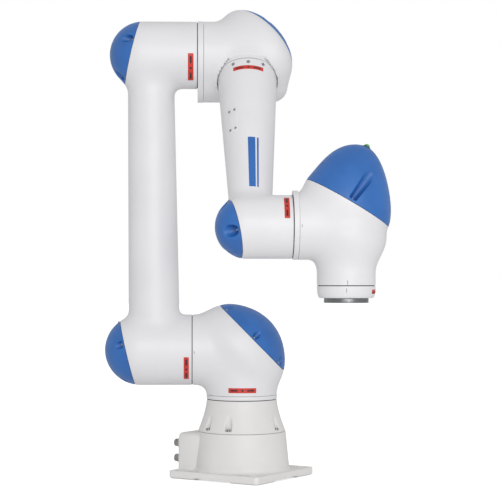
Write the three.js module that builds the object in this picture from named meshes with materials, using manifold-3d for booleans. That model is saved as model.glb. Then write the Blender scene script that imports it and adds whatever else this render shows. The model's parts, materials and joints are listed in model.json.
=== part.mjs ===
// Six-axis collaborative robot arm on a square foot plate, shown with the arm folded forward.
// Millimetres, +Z up. The origin is where the swivel axis meets the underside of the foot plate.
// +X runs along the shoulder and elbow axes towards the wrist, -Y is the front of the arm.

import * as THREE from 'three';
import { mergeVertices } from 'three/addons/utils/BufferGeometryUtils.js';
import Module from 'manifold-3d';

const wasm = await Module();
wasm.setup();

// ---- driving dimensions -------------------------------------------------------------------

const SHOULDER_HEIGHT = 300; // foot plate underside to the shoulder axis
const UPPER_REACH = 700; // shoulder axis to elbow axis
const FORE_REACH = 503; // elbow axis to wrist axis
const FOREARM_TILT = 33.6; // degrees between the folded forearm and straight down
const BASE_YAW = -35.5; // degrees, foot plate against the arm
const FOREARM_OFFSET = 11.5; // forearm axis to the right of the swivel axis
const WRIST_OFFSET = 209; // tool axis to the right of the forearm axis

const GAP = 0.4; // running or assembly gap between neighbouring pieces
const WALL = 6; // casting wall
const COVER_WALL = 3; // plastic cover wall

const PLATE_SIDE = 250;
const PLATE_THICK = 18;
const SKIRT_TOP = 108;
const SWIVEL_JOINT = 183.5;

const SHOULDER_RADIUS = 83.5;
const SHOULDER_JOINT = -118; // shoulder joint plane, along X
const ELBOW_RADIUS = 79.5;
const ELBOW_JOINT = -106;
const ROLL_RADIUS = 70;
const ROLL_JOINT = 69; // elbow axis to the forearm roll joint, along the forearm
const WRIST_RADIUS = 70;
const WRIST_JOINT = 90; // wrist joint plane, to the right of the forearm axis
const TOOL_RADIUS = 64;
const TOOL_JOINT = 129; // wrist axis down to the tool joint

const LOWER_TUBE = { bottomX: -208, topX: -217, bottomRadius: 60, topRadius: 54 };
const LOWER_DOME = { x: -238, radius: 86 };
const UPPER_DOME = { x: -234, radius: 80 };

const ROUND = 24; // sides of the large housings
const DOME = 18; // sides of the domes
const SMALL = 14; // sides of the parts inside

// ---- materials ----------------------------------------------------------------------------

const finish = (color, roughness, metalness = 0) =>
  new THREE.MeshStandardMaterial({ color, roughness, metalness });

const white = finish(0xe6e5e7, 0.42);
const warmWhite = finish(0xe3e1de, 0.45);
const blue = finish(0x3c74be, 0.38);
const steel = finish(0xb4b7bb, 0.3, 1);
const darkSteel = finish(0x6d7075, 0.35, 1);
const black = finish(0x2a2c2f, 0.5);
const copper = finish(0xa86a3c, 0.4, 1);
const board = finish(0x2f6b45, 0.55);
const greenLens = finish(0x4fb45a, 0.2);

// ---- shapes -------------------------------------------------------------------------------

const degrees = THREE.MathUtils.degToRad;

// Turns a shape built along +Z so that it lies along the named axis, x or z.
function layAlong(geometry, axis) {
  return axis === 'x' ? geometry.rotateY(Math.PI / 2) : geometry;
}

function rod(radius, from, to, axis = 'z', sides = ROUND, endRadius = radius) {
  const geometry = new THREE.CylinderGeometry(endRadius, radius, to - from, sides);
  geometry.rotateX(Math.PI / 2);
  geometry.translate(0, 0, (from + to) / 2);
  return layAlong(geometry, axis);
}

// A turned piece: outline points are [radius, height], in either direction.
function turned(outline, axis = 'z', sides = ROUND) {
  const points = outline.map(([radius, height]) => new THREE.Vector2(radius, height));
  if (THREE.ShapeUtils.area(points) < 0) points.reverse();
  const geometry = new THREE.LatheGeometry(points, sides);
  geometry.rotateX(Math.PI / 2);
  return layAlong(geometry, axis);
}

function ring(outer, inner, from, to, axis = 'z', sides = ROUND) {
  return turned([[inner, from], [outer, from], [outer, to], [inner, to], [inner, from]], axis, sides);
}

function block(width, depth, height) {
  return new THREE.BoxGeometry(width, depth, height);
}

function ball(rx, ry, rz, sides = DOME) {
  const geometry = new THREE.SphereGeometry(1, sides, Math.round(sides / 2));
  geometry.rotateX(Math.PI / 2);
  return geometry.scale(rx, ry, rz);
}

// A rectangle with rounded corners, extruded upwards from z = 0.
function roundedSlab(width, depth, height, corner) {
  const x = width / 2;
  const y = depth / 2;
  const shape = new THREE.Shape();
  shape.moveTo(-x + corner, -y);
  shape.lineTo(x - corner, -y);
  shape.absarc(x - corner, -y + corner, corner, -Math.PI / 2, 0);
  shape.lineTo(x, y - corner);
  shape.absarc(x - corner, y - corner, corner, 0, Math.PI / 2);
  shape.lineTo(-x + corner, y);
  shape.absarc(-x + corner, y - corner, corner, Math.PI / 2, Math.PI);
  shape.lineTo(-x, -y + corner);
  shape.absarc(-x + corner, -y + corner, corner, Math.PI, Math.PI * 1.5);
  return new THREE.ExtrudeGeometry(shape, { depth: height, bevelEnabled: false, curveSegments: 4 });
}

function solid(shape) {
  if (!shape.isBufferGeometry) return shape;
  const bare = shape.clone();
  bare.deleteAttribute('normal');
  bare.deleteAttribute('uv');
  const merged = mergeVertices(bare, 1e-4);
  return new wasm.Manifold(new wasm.Mesh({
    numProp: 3,
    vertProperties: new Float32Array(merged.attributes.position.array),
    triVerts: new Uint32Array(merged.index.array),
  }));
}

const join = (...shapes) => shapes.map(solid).reduce((whole, next) => whole.add(next));
const cut = (body, ...tools) => tools.map(solid).reduce((rest, tool) => rest.subtract(tool), solid(body));
const common = (a, b) => solid(a).intersect(solid(b));

function piece(name, shape, material) {
  const { vertProperties, triVerts, numProp } = solid(shape).getMesh();
  if (numProp !== 3) throw new Error(`${name} has unexpected vertex data`);
  const geometry = new THREE.BufferGeometry();
  geometry.setAttribute('position', new THREE.BufferAttribute(new Float32Array(vertProperties), 3));
  geometry.setIndex(new THREE.BufferAttribute(new Uint32Array(triVerts), 1));
  geometry.computeVertexNormals();
  const mesh = new THREE.Mesh(geometry, material);
  mesh.name = name;
  return mesh;
}

function frameAt(parent, x, y, z, tilt = 0, yaw = 0) {
  const frame = new THREE.Group();
  frame.position.set(x, y, z);
  frame.rotation.set(degrees(tilt), 0, degrees(yaw));
  parent.add(frame);
  return frame;
}

// Everything on the far side of a plane, as a large block. The plane passes through `point` in the
// XZ plane and its normal leans `angle` degrees from +Z towards +X.
function beyond(point, angle, gap = 0) {
  const size = 600;
  const geometry = block(size, size, size).translate(0, 0, size / 2 + gap);
  return geometry.rotateY(degrees(angle)).translate(point[0], 0, point[1]);
}

const arm = new THREE.Group();

// ---- joint drives -------------------------------------------------------------------------

// The largest round part that drops into a housing bore.
const fitIn = (bore) => bore * Math.cos(Math.PI / ROUND) - GAP;

// One hollow-shaft drive: strain-wave gear, motor, brake and control board stacked behind the
// joint plane. `towards` is +1 or -1, the way the output faces along the axis.
function addDrive(frame, joint, housingBore, axis, plane, towards, at = [0, 0, 0]) {
  const radius = fitIn(housingBore);
  const bore = radius * 0.28;
  const stack = [
    ['gear', radius, 4, 30, darkSteel],
    ['motor', radius * 0.84, 31, 60, copper],
    ['brake', radius * 0.6, 61, 72, black],
    ['control_board', radius * 0.74, 76, 78, board],
  ];
  for (const [name, outer, near, far, material] of stack) {
    const ends = [plane - towards * near, plane - towards * far].sort((a, b) => a - b);
    const shape = ring(outer, bore, ends[0], ends[1], axis, SMALL).translate(...at);
    frame.add(piece(`${joint}_${name}`, shape, material));
  }
}

// The output flange of a drive, fixed in the housing on the other side of the joint plane.
function addOutput(frame, joint, housingBore, axis, plane, towards, at = [0, 0, 0]) {
  const radius = fitIn(housingBore);
  const ends = [plane + towards * 1, plane + towards * 11].sort((a, b) => a - b);
  const shape = ring(radius, radius * 0.28, ends[0], ends[1], axis, SMALL).translate(...at);
  frame.add(piece(`${joint}_output_flange`, shape, steel));
}

// ---- base ---------------------------------------------------------------------------------

const SKIRT = [[113, PLATE_THICK], [104, SKIRT_TOP - GAP]];
const BOX = { width: 172, from: -121, to: -48, top: 104, wall: 5, corner: 14 };
const BOLT_SPACING = 208; // between the corner bolt holes
const FLOOR = 10; // underside to the inside floor of the base casting
const COLLAR_WALL = 7;
const POCKET = { radius: 8, lean: -14, out: 104, up: 6, angles: [0, 75, 110, 180, -75, -110] };

function collarRadius(height) {
  const t = (height - SKIRT_TOP) / (SWIVEL_JOINT - SKIRT_TOP);
  return 104 - 21 * Math.pow(t, 0.72);
}

function baseCasting() {
  const bolt = BOLT_SPACING / 2;
  const outer = join(
    roundedSlab(PLATE_SIDE, PLATE_SIDE, PLATE_THICK, 10),
    turned([[0, 0], [SKIRT[0][0], 0], ...SKIRT, [0, SKIRT_TOP - GAP]]),
    connectorBoxShape(0, 0),
  );
  const holes = [];
  for (const x of [-bolt, bolt]) {
    for (const y of [-bolt, bolt]) holes.push(rod(6, -1, PLATE_THICK + 1, 'z', 12).translate(x, y, 0));
  }
  const hollow = turned([[0, FLOOR], [100, FLOOR], [95, SKIRT_TOP + 1], [0, SKIRT_TOP + 1]]);
  const reliefs = [0, 90, 180, 270].map((angle) =>
    roundedSlab(60, 100, 9, 8).translate(PLATE_SIDE / 2, 0, -4.5).rotateZ(degrees(angle)));
  return cut(outer, hollow, connectorBoxShape(BOX.wall, 2), ...reliefs, ...holes);
}

// The box behind the skirt that carries the connectors, smaller by `inset` on every side.
function connectorBoxShape(inset, past) {
  const half = BOX.width / 2 - inset;
  const top = BOX.top - inset;
  const shape = new THREE.Shape();
  shape.moveTo(-half, PLATE_THICK + inset - 2);
  shape.lineTo(half, PLATE_THICK + inset - 2);
  shape.lineTo(half, top - BOX.corner);
  shape.absarc(half - BOX.corner, top - BOX.corner, BOX.corner, 0, Math.PI / 2);
  shape.lineTo(-half + BOX.corner, top);
  shape.absarc(-half + BOX.corner, top - BOX.corner, BOX.corner, Math.PI / 2, Math.PI);
  const depth = BOX.to - BOX.from - inset + past;
  const geometry = new THREE.ExtrudeGeometry(shape, { depth, bevelEnabled: false, curveSegments: 4 });
  geometry.rotateX(Math.PI / 2).rotateZ(Math.PI / 2);
  return geometry.translate(BOX.from - past, 0, 0);
}

function baseCollar() {
  const heights = [0, 15, 32, 52, 75.5 - GAP].map((h) => SKIRT_TOP + h);
  const outside = heights.map((h) => [collarRadius(h), h]);
  const inside = heights.map((h) => [collarRadius(h) - COLLAR_WALL, h]).reverse();
  let shell = turned([...outside, ...inside, outside[0]]);
  for (const angle of POCKET.angles) {
    const pocket = rod(POCKET.radius, 0, 34, 'z', 10).rotateY(degrees(POCKET.lean));
    pocket.translate(POCKET.out, 0, SKIRT_TOP + POCKET.up);
    shell = cut(shell, pocket.rotateZ(degrees(angle)));
  }
  return shell;
}

function addBase() {
  const frame = frameAt(arm, 0, 0, 0, 0, BASE_YAW);
  frame.add(piece('base_casting', baseCasting(), warmWhite));
  frame.add(piece('base_collar', baseCollar(), warmWhite));
  const panel = block(2.5, BOX.width - 6, BOX.top - PLATE_THICK - 6);
  const panelX = BOX.from - GAP - 1.25;
  const panelZ = (BOX.top + PLATE_THICK) / 2;
  const ports = [
    ['power_connector', 10, -68, 42, 19],
    ['signal_connector', 10, -68, 78, 19],
    ['network_connector', 9, -22, 60, 16],
    ['air_fitting', 7, 24, 60, 18],
    ['ground_terminal', 5, 62, 44, 10],
  ];
  const holes = ports.map(([, r, y, z]) =>
    rod(r * 0.7 + GAP, -140, -100, 'x', 12).translate(0, y, z));
  frame.add(piece('connector_panel', cut(panel.translate(panelX, 0, panelZ), ...holes), white));
  for (const [name, r, y, z, length] of ports) {
    const outline = [
      [r * 0.4, 8], [r * 0.7, 8], [r * 0.7, 3.4], [r, 3.4], [r, 3.4 - length], [r * 0.4, 3.4 - length],
      [r * 0.4, 8],
    ].map(([radius, x]) => [radius, x - 6.8]);
    const shape = turned(outline, 'x', 14).translate(BOX.from, y, z);
    frame.add(piece(name, shape, steel));
  }
  frame.add(piece('base_terminal_board', block(2, 120, 50).translate(-102, 0, 66), board));
  addOutput(arm, 'swivel', 76, 'z', SWIVEL_JOINT, -1);
}

// ---- shoulder -----------------------------------------------------------------------------

// The corner casting seen at the shoulder: a pipe to the joint at the left, a pipe down to the next
// joint and a swollen back closed by a slanting dome cover.
const CORNER = {
  angle: 45.5,
  centre: [23, 27.5],
  along: 108.5,
  across: 90,
  cover: 54.5,
  back: 96,
  skew: -0.04,
};

// The ellipsoid of the swollen back, as tall as `depth`. The cover's ellipsoid is skewed along its rim.
function cornerHalf(shrink, depth) {
  const { angle, centre, along, across, cover, skew } = CORNER;
  const shape = ball(along - shrink, across - shrink, depth - shrink);
  if (depth === cover) shape.applyMatrix4(new THREE.Matrix4().makeShear(0, 0, 0, 0, skew, 0));
  return shape.rotateY(degrees(angle)).translate(centre[0], 0, centre[1]);
}

// A point on the axis of the swollen back, this far above the plane through its centre.
function cornerPoint(above) {
  const lean = degrees(CORNER.angle);
  return [CORNER.centre[0] + above * Math.sin(lean), CORNER.centre[1] + above * Math.cos(lean)];
}

function cornerHousing(extraOuter, extraInner, leftRadius, leftPlane, downRadius, downPlane) {
  const outer = join(
    common(cornerHalf(0, CORNER.back), beyond(CORNER.centre, CORNER.angle + 180)),
    cut(rod(leftRadius, leftPlane, 0, 'x'), beyond(CORNER.centre, CORNER.angle)),
    cut(rod(downRadius, -downPlane, 0), beyond(CORNER.centre, CORNER.angle)),
    ...extraOuter,
  );
  return cut(
    outer,
    cornerHalf(WALL, CORNER.back),
    rod(leftRadius - WALL - 1.5, leftPlane - 1, 0, 'x'),
    rod(downRadius - WALL - 1.5, -downPlane - 1, 0),
    ...extraInner,
  );
}

function cornerCover(above) {
  const outer = cornerHalf(0, CORNER.cover);
  const inner = cornerHalf(COVER_WALL, CORNER.cover);
  return cut(common(outer, beyond(cornerPoint(above), CORNER.angle, GAP)), inner);
}

function addShoulder() {
  const frame = frameAt(arm, 0, 0, SHOULDER_HEIGHT);
  const drop = SHOULDER_HEIGHT - SWIVEL_JOINT - 0.6;
  const housing = cornerHousing([], [], SHOULDER_RADIUS, SHOULDER_JOINT + 0.6, 83, drop - 10);
  frame.add(piece('shoulder_housing', housing, white));
  frame.add(piece('swivel_ring', ring(83.5, 75.6, -drop, -drop + 10 - GAP), white));
  frame.add(piece('shoulder_cover', cornerCover(0), blue));
  addDrive(frame, 'swivel', 75.5, 'z', -drop, -1);
  addOutput(frame, 'shoulder', 76, 'x', SHOULDER_JOINT, 1);
}

// ---- lower arm ----------------------------------------------------------------------------

// Cover planes: a point on the plane in XZ and the lean of its normal.
const LOWER_CUT = { point: [-271.5, 0], angle: -103.5 };
const UPPER_CUT = { point: [-258.5, UPPER_REACH + 8], angle: -76.5 };

function housingEnd(radius, plane, dome, height, shrink) {
  return join(
    rod(radius - shrink, dome.x, plane + (shrink ? 1 : 0), 'x').translate(0, 0, height),
    ball(dome.radius - shrink, dome.radius - shrink, dome.radius - shrink)
      .rotateY(Math.PI / 2).translate(dome.x, 0, height),
  );
}

function lowerTube(shrink) {
  const { bottomX, topX, bottomRadius, topRadius } = LOWER_TUBE;
  const tube = rod(bottomRadius - shrink, 0, UPPER_REACH, 'z', ROUND, topRadius - shrink);
  const lean = new THREE.Matrix4().makeShear(0, 0, 0, 0, (topX - bottomX) / UPPER_REACH, 0);
  return tube.applyMatrix4(lean).translate(bottomX, 0, 0);
}

function lowerArmShape(shrink) {
  return join(
    housingEnd(SHOULDER_RADIUS, SHOULDER_JOINT - 0.6, LOWER_DOME, 0, shrink),
    housingEnd(ELBOW_RADIUS, ELBOW_JOINT - 0.6, UPPER_DOME, UPPER_REACH, shrink),
    lowerTube(shrink),
  );
}

function addLowerArm() {
  const frame = frameAt(arm, 0, 0, SHOULDER_HEIGHT);
  const shell = cut(lowerArmShape(0), lowerArmShape(WALL + 1.5));
  const cuts = [LOWER_CUT, UPPER_CUT];
  const casting = cut(shell, ...cuts.map(({ point, angle }) => beyond(point, angle)));
  frame.add(piece('lower_arm_casting', casting, white));
  const ends = [
    ['shoulder_end_cover', LOWER_CUT, LOWER_DOME, 0],
    ['elbow_end_cover', UPPER_CUT, UPPER_DOME, UPPER_REACH],
  ];
  for (const [name, plane, dome, height] of ends) {
    const skin = cut(ball(dome.radius, dome.radius, dome.radius),
      ball(dome.radius - COVER_WALL, dome.radius - COVER_WALL, dome.radius - COVER_WALL));
    const placed = skin.rotate([0, 90, 0]).translate([dome.x, 0, height]);
    frame.add(piece(name, common(placed, beyond(plane.point, plane.angle, GAP)), blue));
  }
  addDrive(frame, 'shoulder', 76, 'x', SHOULDER_JOINT, 1);
  addDrive(frame, 'elbow', 72, 'x', ELBOW_JOINT, 1, [0, 0, UPPER_REACH]);
}

// ---- elbow --------------------------------------------------------------------------------

const ELBOW_SHIFT = { y: 41, z: -8 }; // centre of the second circle of the oval end
const ELBOW_SEAM = 17; // the elbow's cover starts this far above the plane through the swollen back
const BARREL = { radius: 81, right: 58, dome: 45, ring: 14 }; // ring: width of the oval end ring

function addElbow() {
  const frame = frameAt(arm, FOREARM_OFFSET, 0, SHOULDER_HEIGHT + UPPER_REACH, -FOREARM_TILT);
  const plane = ELBOW_JOINT - FOREARM_OFFSET + 0.6;
  const left = plane + BARREL.ring;
  const { y, z } = ELBOW_SHIFT;
  const barrel = join(
    rod(BARREL.radius, left, BARREL.right, 'x'),
    ball(BARREL.dome, BARREL.radius, BARREL.radius, ROUND).translate(BARREL.right, 0, 0),
  ).translate([0, y, z]);
  const barrelBore = rod(BARREL.radius - WALL, left + 16, BARREL.right - 24, 'x').translate(0, y, z);
  const pocket = (grow) => rod(ROLL_RADIUS + 4 + grow, -140, -ROLL_JOINT + 0.6 + grow);
  const shoulderOfCover = cut(
    common(cornerHalf(0, CORNER.cover), beyond(CORNER.centre, CORNER.angle, -1)),
    cornerHalf(WALL, CORNER.cover), beyond(cornerPoint(ELBOW_SEAM), CORNER.angle));
  const inner = [cut(barrelBore, pocket(WALL)), pocket(0)];
  const housing = cornerHousing([barrel], inner, BARREL.radius, left, ROLL_RADIUS, ROLL_JOINT - 0.6);
  const trimmed = cut(housing, beyond(CORNER.centre, CORNER.angle));
  frame.add(piece('elbow_housing', join(trimmed, shoulderOfCover), white));
  const oval = join(
    rod(BARREL.radius + 0.5, plane, left - GAP, 'x'),
    rod(BARREL.radius + 0.5, plane, left - GAP, 'x').translate(0, y, z),
  );
  frame.add(piece('elbow_ring', cut(oval, rod(73.5, plane - 1, left + 6, 'x')), white));
  frame.add(piece('elbow_cover', cornerCover(ELBOW_SEAM), blue));
  addOutput(frame, 'elbow', 73, 'x', ELBOW_JOINT - FOREARM_OFFSET, 1);
  addDrive(frame, 'forearm', 62.5, 'z', -ROLL_JOINT, -1);
}

// ---- forearm ------------------------------------------------------------------------------

const FOREARM_OUTLINE = [[70, 0.6], [66, 73], [50, 336], [48.5, FORE_REACH - ROLL_JOINT - 30]];
const WRIST_CUT = { point: [-36.5, -FORE_REACH], angle: -103.5 };
const WRIST_DOME = { x: -10, radius: 70 };
const PORT = { width: 22, length: 68, thick: 4, turn: -39, along: -238, out: 57 }; // cable port cover

function forearmShape(shrink) {
  const outline = FOREARM_OUTLINE.map(([r, t]) => [r - shrink, -ROLL_JOINT - t]);
  const last = outline.length - 1;
  if (shrink) outline[0][1] += 5;
  return join(
    turned([[0, outline[last][1]], ...outline.reverse(), [0, outline[last][1]]]),
    housingEnd(WRIST_RADIUS, WRIST_JOINT - 0.6, WRIST_DOME, -FORE_REACH, shrink),
  );
}

function addForearm() {
  const x = FOREARM_OFFSET;
  const frame = frameAt(arm, x, 0, SHOULDER_HEIGHT + UPPER_REACH, -FOREARM_TILT);
  const shell = cut(forearmShape(0), forearmShape(WALL));
  const portBlock = (margin, depth) =>
    block(PORT.width - margin, depth, PORT.length - margin)
      .translate(0, -PORT.out, PORT.along).rotateZ(degrees(PORT.turn));
  const window = portBlock(0, 24);
  const casting = cut(shell, beyond(WRIST_CUT.point, WRIST_CUT.angle), window);
  frame.add(piece('forearm_casting', casting, white));
  const ballRadius = WRIST_DOME.radius;
  const skin = cut(ball(ballRadius, ballRadius, ballRadius),
    ball(ballRadius - COVER_WALL, ballRadius - COVER_WALL, ballRadius - COVER_WALL));
  const placed = skin.rotate([0, 90, 0]).translate([WRIST_DOME.x, 0, -FORE_REACH]);
  const cover = common(placed, beyond(WRIST_CUT.point, WRIST_CUT.angle, GAP));
  frame.add(piece('forearm_end_cover', cover, blue));
  frame.add(piece('forearm_port_cover', portBlock(2 * GAP, PORT.thick), white));
  addOutput(frame, 'forearm', ROLL_RADIUS - WALL - 2, 'z', -ROLL_JOINT, -1);
  addDrive(frame, 'wrist', 64, 'x', WRIST_JOINT, 1, [0, 0, -FORE_REACH]);
}

// ---- wrist --------------------------------------------------------------------------------

const WRIST_CENTRE = [
  FOREARM_OFFSET + WRIST_OFFSET,
  -FORE_REACH * Math.sin(degrees(FOREARM_TILT)),
  SHOULDER_HEIGHT + UPPER_REACH - FORE_REACH * Math.cos(degrees(FOREARM_TILT)),
];
const HEAD = { point: [5, 53.5], angle: 30.3, along: 104, across: 82, cover: 127, back: 104, skew: -0.19 };

function headHalf(shrink, depth, skew) {
  const shape = ball(HEAD.along - shrink, HEAD.across - shrink, depth - shrink);
  shape.applyMatrix4(new THREE.Matrix4().makeShear(0, 0, 0, 0, skew, 0));
  return shape.rotateY(degrees(HEAD.angle)).translate(HEAD.point[0], 0, HEAD.point[1]);
}

function addWrist() {
  const frame = frameAt(arm, ...WRIST_CENTRE);
  const plane = WRIST_JOINT - WRIST_OFFSET + 0.6;
  const outer = join(
    common(headHalf(0, HEAD.back, 0), beyond(HEAD.point, HEAD.angle + 180)),
    cut(rod(72, plane + 12, 0, 'x'), beyond(HEAD.point, HEAD.angle)),
    rod(TOOL_RADIUS, -TOOL_JOINT + 0.6, 0),
  );
  const housing = cut(outer,
    headHalf(WALL, HEAD.back, 0),
    rod(72 - WALL, plane, 0, 'x'),
    rod(TOOL_RADIUS - WALL, -TOOL_JOINT, 0));
  frame.add(piece('wrist_housing', housing, white));
  const collar = ring(76, 66, plane, plane + 12 - GAP, 'x').translate(0, 0, 4);
  frame.add(piece('wrist_ring', cut(collar, rod(66, plane - 1, plane + 20, 'x')), white));
  const lampAt = [47, 0, 179];
  const seat = rod(6 + GAP, -20, 40, 'z', 12).rotateY(degrees(28)).translate(...lampAt);
  const cover = cut(
    common(headHalf(0, HEAD.cover, HEAD.skew), beyond(HEAD.point, HEAD.angle, GAP)),
    headHalf(COVER_WALL, HEAD.cover, HEAD.skew), seat,
  );
  frame.add(piece('wrist_cover', cover, blue));
  const lamp = join(rod(6, -12, 0, 'z', 12), ball(6, 6, 4, 12)).rotate([0, 28, 0]).translate(lampAt);
  frame.add(piece('status_lamp', lamp, greenLens));
  addOutput(frame, 'wrist', 66, 'x', WRIST_JOINT - WRIST_OFFSET, 1);
  addDrive(frame, 'tool', TOOL_RADIUS - WALL, 'z', -TOOL_JOINT, -1);
}

// ---- tool flange --------------------------------------------------------------------------

function addToolFlange() {
  const frame = frameAt(arm, ...WRIST_CENTRE);
  const top = -TOOL_JOINT - 0.6;
  const collar = turned([
    [TOOL_RADIUS, top], [63, -144], [59, -156], [20, -156], [20, -150], [55, -150], [57, top],
    [TOOL_RADIUS, top],
  ]);
  frame.add(piece('flange_collar', collar, white));
  addOutput(frame, 'tool', 55, 'z', -TOOL_JOINT, -1);
  const plate = turned([
    [49, -156.4], [49, -166.5], [31.5, -166.5], [31.5, -160], [12, -160], [12, -156.4], [49, -156.4],
  ]);
  const holes = [45, 135, 225, 315].map((angle) =>
    rod(3, -170, -157, 'z', 8).translate(40, 0, 0).rotateZ(degrees(angle)));
  frame.add(piece('tool_flange', cut(plate, ...holes), steel));
}

addBase();
addShoulder();
addLowerArm();
addElbow();
addForearm();
addWrist();
addToolFlange();

export default arm;
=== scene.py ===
"""Looks of a six-axis collaborative robot arm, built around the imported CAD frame.

Castings and covers are smooth fields turned into meshes, cut by planes and given real walls.
Rings, bolts and connectors are turned sections. Lengths are millimetres until a piece is placed.
"""

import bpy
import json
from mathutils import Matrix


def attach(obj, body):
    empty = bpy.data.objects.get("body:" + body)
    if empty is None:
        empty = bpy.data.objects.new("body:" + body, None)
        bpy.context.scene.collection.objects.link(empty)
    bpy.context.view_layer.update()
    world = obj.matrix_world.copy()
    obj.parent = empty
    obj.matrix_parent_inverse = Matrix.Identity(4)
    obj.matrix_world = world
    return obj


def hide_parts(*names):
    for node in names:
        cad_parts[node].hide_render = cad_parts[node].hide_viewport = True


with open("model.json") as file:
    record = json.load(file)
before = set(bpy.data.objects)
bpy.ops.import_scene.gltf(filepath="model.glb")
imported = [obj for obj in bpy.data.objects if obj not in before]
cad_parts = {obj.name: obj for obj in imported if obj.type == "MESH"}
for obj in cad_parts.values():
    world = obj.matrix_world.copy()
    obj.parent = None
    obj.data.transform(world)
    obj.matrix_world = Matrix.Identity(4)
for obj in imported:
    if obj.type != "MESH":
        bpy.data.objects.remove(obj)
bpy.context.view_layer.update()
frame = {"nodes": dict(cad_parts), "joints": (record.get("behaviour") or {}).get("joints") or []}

import copy
import json
import math
from math import cos, pi, radians, sin

import bmesh
import bpy
import numpy as np
from mathutils import Matrix, Vector

METRES = 0.001
JOINT = {j["name"]: np.array(j["pos_m"]) / METRES for j in frame["joints"]}
ROLL_AXIS = next(j["axis"] for j in frame["joints"] if j["name"] == "forearm_roll")

# ---- driving dimensions ----

SHOULDER_HEIGHT = JOINT["shoulder"][2]
UPPER_REACH = JOINT["elbow"][2] - SHOULDER_HEIGHT
FOREARM_X = JOINT["forearm_roll"][0]
FOREARM_TILT = math.degrees(math.asin(-ROLL_AXIS[1]))
WRIST = np.array([JOINT["tool_turn"][0], JOINT["wrist_bend"][1], JOINT["wrist_bend"][2]])
FORE_REACH = (JOINT["elbow"][2] - WRIST[2]) / cos(radians(FOREARM_TILT))
BASE_YAW = -35.5

SHOULDER_PLANE = JOINT["shoulder"][0]
SWIVEL_PLANE = JOINT["swivel"][2]
ELBOW_PLANE = JOINT["elbow"][0]
ROLL_PLANE = -np.linalg.norm(JOINT["forearm_roll"] - JOINT["elbow"] * [0, 1, 1] - [FOREARM_X, 0, 0])
WRIST_PLANE = JOINT["wrist_bend"][0] - WRIST[0]
TOOL_PLANE = JOINT["tool_turn"][2] - WRIST[2]

SHOULDER_RADIUS = 83.5
SWIVEL_RADIUS = 83
ELBOW_RADIUS = 79.5
ROLL_RADIUS = 70
WRIST_RADIUS = 70
TOOL_RADIUS = 64.5
CASTING_WALL = 6
COVER_WALL = 3
JOINT_GAP = 0.9  # from a joint plane to the casting on each side
SEAM_GAP = 0.4  # from a cover plane to the piece on each side
SEAL_INSET = 2.2  # from the radius of the pipes beside a seal
SEAL_HALF = 3
GRID = 4  # the cell size for castings
FINE_GRID = 2.2  # the cell size for covers


# ---- frames and planes ----

def frame_at(x, y, z, tilt=0, yaw=0):
    turn = Matrix.Rotation(radians(yaw), 4, "Z") @ Matrix.Rotation(radians(tilt), 4, "X")
    return Matrix.Translation((x, y, z)) @ turn


SHOULDER = frame_at(0, 0, SHOULDER_HEIGHT)
ELBOW = frame_at(FOREARM_X, 0, SHOULDER_HEIGHT + UPPER_REACH, tilt=-FOREARM_TILT)
HEAD = frame_at(*WRIST)

# The frame that a piece is made in and the body that it rides on.
ON_BASE = (frame_at(0, 0, 0, yaw=BASE_YAW), "base")
ON_SWIVEL = (SHOULDER, "swivel")
ON_LOWER_ARM = (SHOULDER, "lower_arm")
ON_ELBOW = (ELBOW, "elbow")
ON_FOREARM = (ELBOW, "forearm")
ON_WRIST = (HEAD, "wrist")
ON_TOOL = (HEAD, "tool")


def polar(radius, degrees, z=0.0):
    """A point round the Z axis; degrees run from +X towards +Y."""
    turn = radians(degrees)
    return np.array([radius * cos(turn), radius * sin(turn), z])


class Plane:
    """A plane across the XZ plane of a frame, with its normal leaning from +Z towards +X."""

    below = None  # a plane may cut only what is below this height

    def __init__(self, x, z, lean):
        self.point = np.array([x, 0.0, z])
        self.normal = np.array([sin(radians(lean)), 0.0, cos(radians(lean))])
        self.along = np.array([self.normal[2], 0.0, -self.normal[0]])

    def local(self, p):
        """Distances along the plane, across it and above it."""
        q = p - self.point
        return q @ self.along, q[:, 1], q @ self.normal

    def set_to(self, point, normal):
        """The same plane through another point or with another normal."""
        other = copy.copy(self)
        other.point, other.normal = point, normal
        return other

    def moved(self, distance):
        return self.set_to(self.point + distance * self.normal, self.normal)

    def flipped(self):
        return self.set_to(self.point, -self.normal)


def plane_x(x, side):
    return Plane(x, 0, 90 * side)


def plane_z(z, side):
    return Plane(0, z, 0 if side > 0 else 180)


# ---- fields: signed distances, negative inside ----

def blend_join(a, b, size):
    h = np.maximum(size - np.abs(a - b), 0) / size
    return np.minimum(a, b) - h * h * size / 4


def blend_cut(a, b, size):
    """What is left of a once b is taken away."""
    return -blend_join(-a, b, size)


def swollen(q, radii):
    """Distance to an ellipsoid. A coordinate held at zero makes it a pipe."""
    scaled = [c / r for c, r in zip(q, radii)]
    k0 = np.sqrt(sum(c * c for c in scaled))
    k1 = np.sqrt(sum((c / r) ** 2 for c, r in zip(scaled, radii)))
    return k0 * (k0 - 1) / np.maximum(k1, 1e-9)


def pipe_x(p, radius, end, bulge, z=0.0, side=1):
    """A pipe along X, open towards side, with a domed end."""
    x = np.minimum((p[:, 0] - end) * side, 0)
    return swollen((x, p[:, 1], p[:, 2] - z), (bulge, radius, radius))


def pipe_down(p, radius):
    """A pipe along -Z with a domed top."""
    return swollen((p[:, 0], p[:, 1], np.maximum(p[:, 2], 0)), (radius, radius, radius))


def cone(p, radius_at, x=0.0):
    """A slightly tapered tube along Z."""
    return np.hypot(p[:, 0] - x, p[:, 1]) - radius_at


def well(p, plane, along, across, radius, floor):
    """A round hole straight down a plane's normal, with a flat floor."""
    e, y, n = plane.local(p)
    return np.maximum(np.hypot(e - along, y - across) - radius, floor - n)


GROOVE_SLANT = 0.12  # how far a groove leans along the plane for each millimetre of height
GROOVE_FLARE = 0.06  # how much its radius grows for each millimetre of height
GROOVE_TOP = 80


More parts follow.
